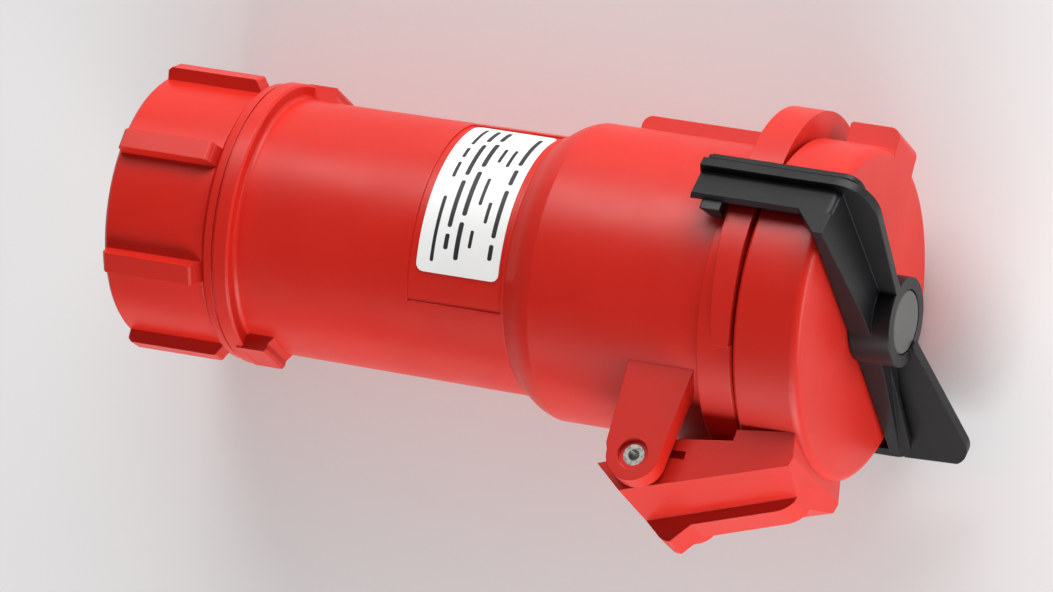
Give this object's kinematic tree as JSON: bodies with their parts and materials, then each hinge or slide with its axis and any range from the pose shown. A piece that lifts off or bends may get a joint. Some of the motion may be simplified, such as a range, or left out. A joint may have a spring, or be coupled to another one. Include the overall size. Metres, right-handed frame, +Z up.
{
  "type": "industrial cable coupler",
  "caption": "Watertight pin and sleeve cable connector with a sprung hinged lid, a bayonet locking lever and a ribbed cable clamp nut.",
  "frame": {"origin": "centre of the bounding box at its base, where the connector lies on a table", "axes": "+X along the connector to the lid end, nearly level; +Z up with the connector on its side; +Y across"},
  "size_m": [0.2374, 0.1232, 0.0963],
  "materials": {
    "red_plastic": "moulded red nylon, fine satin texture",
    "black_plastic": "moulded glass-filled nylon, satin",
    "grey_plastic": "moulded grey plastic",
    "insert_plastic": "moulded black thermoset",
    "label": "bare white foil label",
    "brass": "nickel-plated brass",
    "steel": "stainless steel",
    "rubber": "moulded rubber"
  },
  "bodies": {
    "housing": {"front_housing": "red_plastic", "handle_barrel": "red_plastic", "rating_label": "label", "contact_insert": "insert_plastic", "earth_sleeve": "brass", "phase_one_sleeve": "brass", "phase_two_sleeve": "brass", "phase_three_sleeve": "brass", "hinge_pin": "steel", "torsion_spring": "steel", "cable_grommet": "rubber", "slip_washer": "grey_plastic", "barrel_seal": "rubber", "insert_retaining_ring": "grey_plastic", "terminal_screws": "brass", "insert_front_plate": "insert_plastic"},
    "lid": {"lid": "red_plastic", "lid_gasket": "rubber", "pivot_bolt": "steel", "pivot_nut": "steel", "pivot_washer": "grey_plastic"},
    "lever": {"locking_lever": "black_plastic", "boss_cap": "grey_plastic"},
    "nut": {"clamp_nut": "red_plastic"}
  },
  "joints": [
    {"name": "lid_hinge", "type": "hinge", "parent": "housing", "child": "lid", "pos_m": [0.05091, -0.04387, 0.06752], "axis": [0.0307, -0.3809, -0.9241], "range_deg": [0, 105], "stiffness_Nm_per_rad": 0.12, "springref_deg": -28.65, "deforming": ["torsion_spring"]},
    {"name": "lever_turn", "type": "hinge", "parent": "lid", "child": "lever", "pos_m": [0.0958, 0.00837, 0.04748], "axis": [0.9995, 0, 0.0332], "range_deg": [0, 57.5]},
    {"name": "nut_turn", "type": "hinge", "parent": "housing", "child": "nut", "pos_m": [-0.1011, 0.00837, 0.04094], "axis": [0.9995, 0, 0.0332], "continuous": true}
  ]
}
